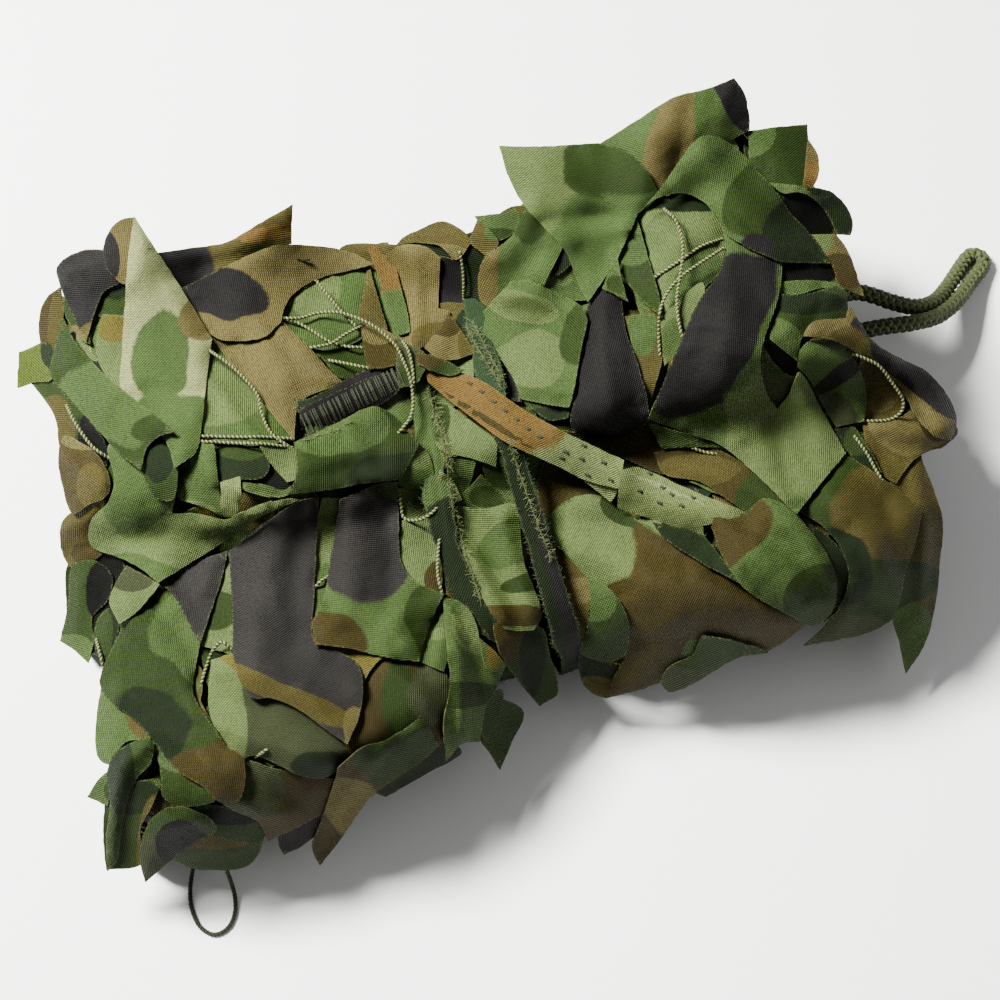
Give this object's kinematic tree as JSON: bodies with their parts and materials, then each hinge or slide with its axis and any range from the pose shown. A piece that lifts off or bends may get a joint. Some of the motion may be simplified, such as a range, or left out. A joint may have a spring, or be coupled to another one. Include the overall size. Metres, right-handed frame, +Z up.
{
  "type": "camouflage net",
  "caption": "Leaf-cut woodland camouflage net folded back and forth into a bundle, tied round its waist with a twisted tape, with a braided edge-rope loop and a twine corner loop.",
  "frame": {"origin": "on the surface that the bundle lies on, under the middle of the bundle's bounding box", "axes": "+X along the bundle from its flat sharp end to the end with the rope loop, +Y across it from the low front edge to the high back edge, +Z up from the surface"},
  "size_m": [0.3575, 0.2116, 0.113],
  "materials": {
    "printed_cloth": "thin coated oxford weave printed in woodland greens, brown and black, a soft sheen",
    "sewn_tape": "cut printed cloth folded and sewn into a tape, frayed edges",
    "braided_rope": "dark green braided cord, fuzzy",
    "net_twine": "thin two-ply twine, one ply pale green and one black"
  },
  "bodies": {
    "root": {"net_bundle": "printed_cloth", "tie_tape": "sewn_tape", "edge_rope_loop": "braided_rope", "corner_loop": "net_twine"}
  },
  "joints": []
}
